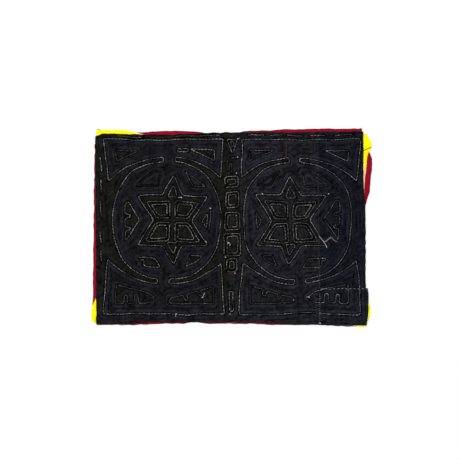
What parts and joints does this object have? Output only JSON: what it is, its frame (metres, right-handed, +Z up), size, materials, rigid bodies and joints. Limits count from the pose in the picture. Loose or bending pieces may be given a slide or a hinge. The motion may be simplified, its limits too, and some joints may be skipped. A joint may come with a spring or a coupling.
{
  "type": "mola panel",
  "caption": "Layered cotton reverse-applique panel for a blouse, lying face down with its hand-sewn back showing.",
  "frame": {"origin": "middle of the panel's box, on the surface that the panel lies on", "axes": "+X along the panel's long side, +Y up the panel as it is seen, +Z up through the layers"},
  "size_m": [0.4276, 0.3027, 0.0062],
  "materials": {
    "red_cotton": "matte crimson plain weave",
    "yellow_cotton": "matte bright yellow plain weave",
    "black_cotton": "matte near-black plain weave",
    "navy_cotton": "matte blue-black plain weave",
    "mend_cotton": "matte blue-black plain weave",
    "thread": "twisted tan-grey sewing cotton"
  },
  "bodies": {
    "root": {"red_layer": "red_cotton", "yellow_layer": "yellow_cotton", "backing_main": "black_cotton", "backing_side": "navy_cotton", "backing_corner": "mend_cotton"}
  },
  "joints": []
}
